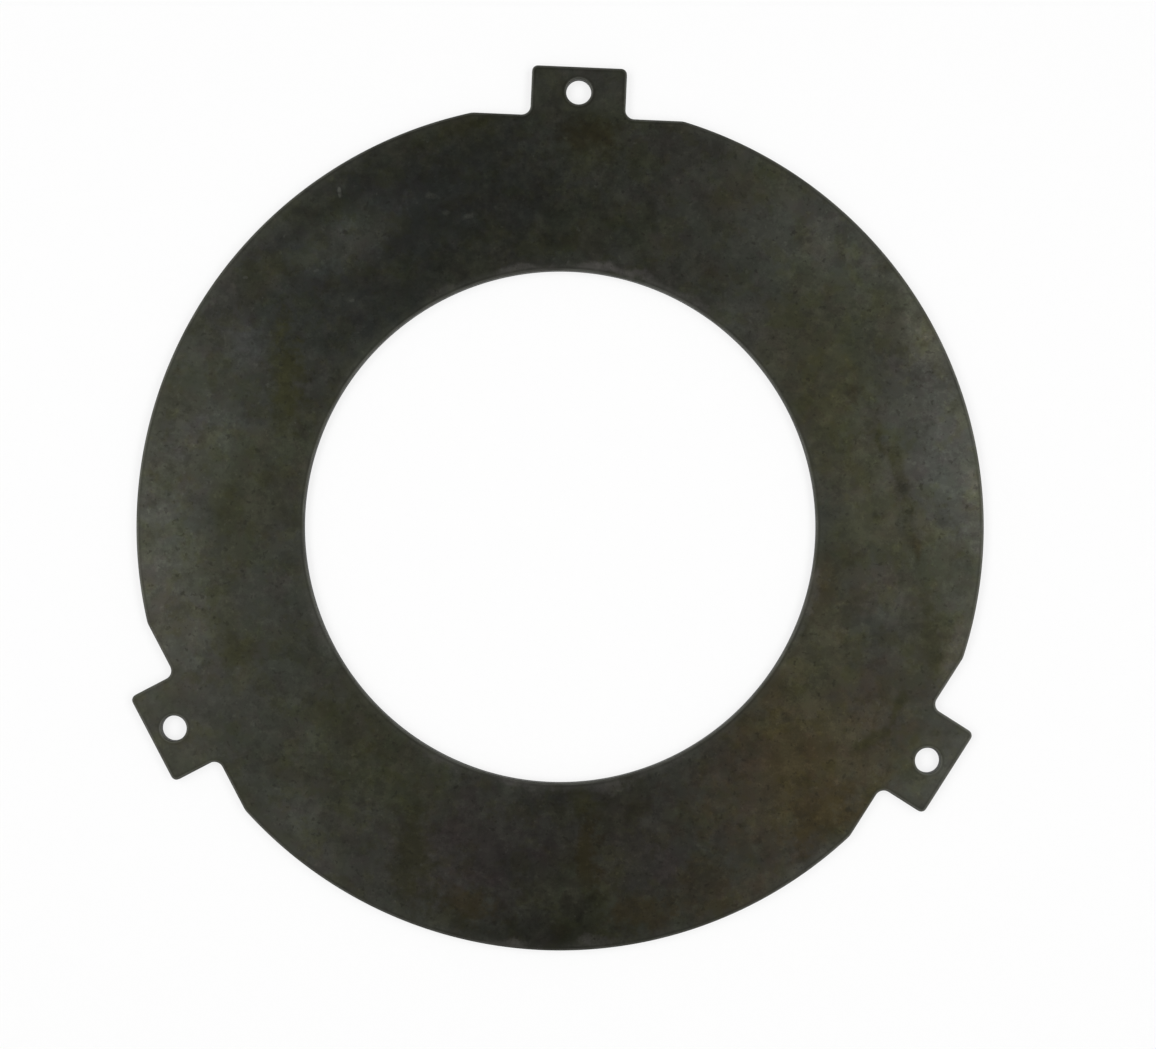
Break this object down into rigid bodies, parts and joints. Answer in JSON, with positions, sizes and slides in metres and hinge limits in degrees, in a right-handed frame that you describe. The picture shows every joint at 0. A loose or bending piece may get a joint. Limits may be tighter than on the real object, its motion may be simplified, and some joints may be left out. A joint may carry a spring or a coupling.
{
  "type": "clutch disc",
  "caption": "Flat steel separator disc for a multi-plate clutch: a wide plain ring with drilled drive lugs on its rim, blanked from one sheet.",
  "frame": {"origin": "centre of the bore at half the plate's thickness", "axes": "+Z along the bore axis, towards the face with the rolled edges; +Y through the hole of the first lug"},
  "size_m": [0.2286, 0.2385, 0.0032],
  "materials": {
    "oxide_steel": "satin"
  },
  "bodies": {
    "root": {"separator_disc": "oxide_steel"}
  },
  "joints": []
}
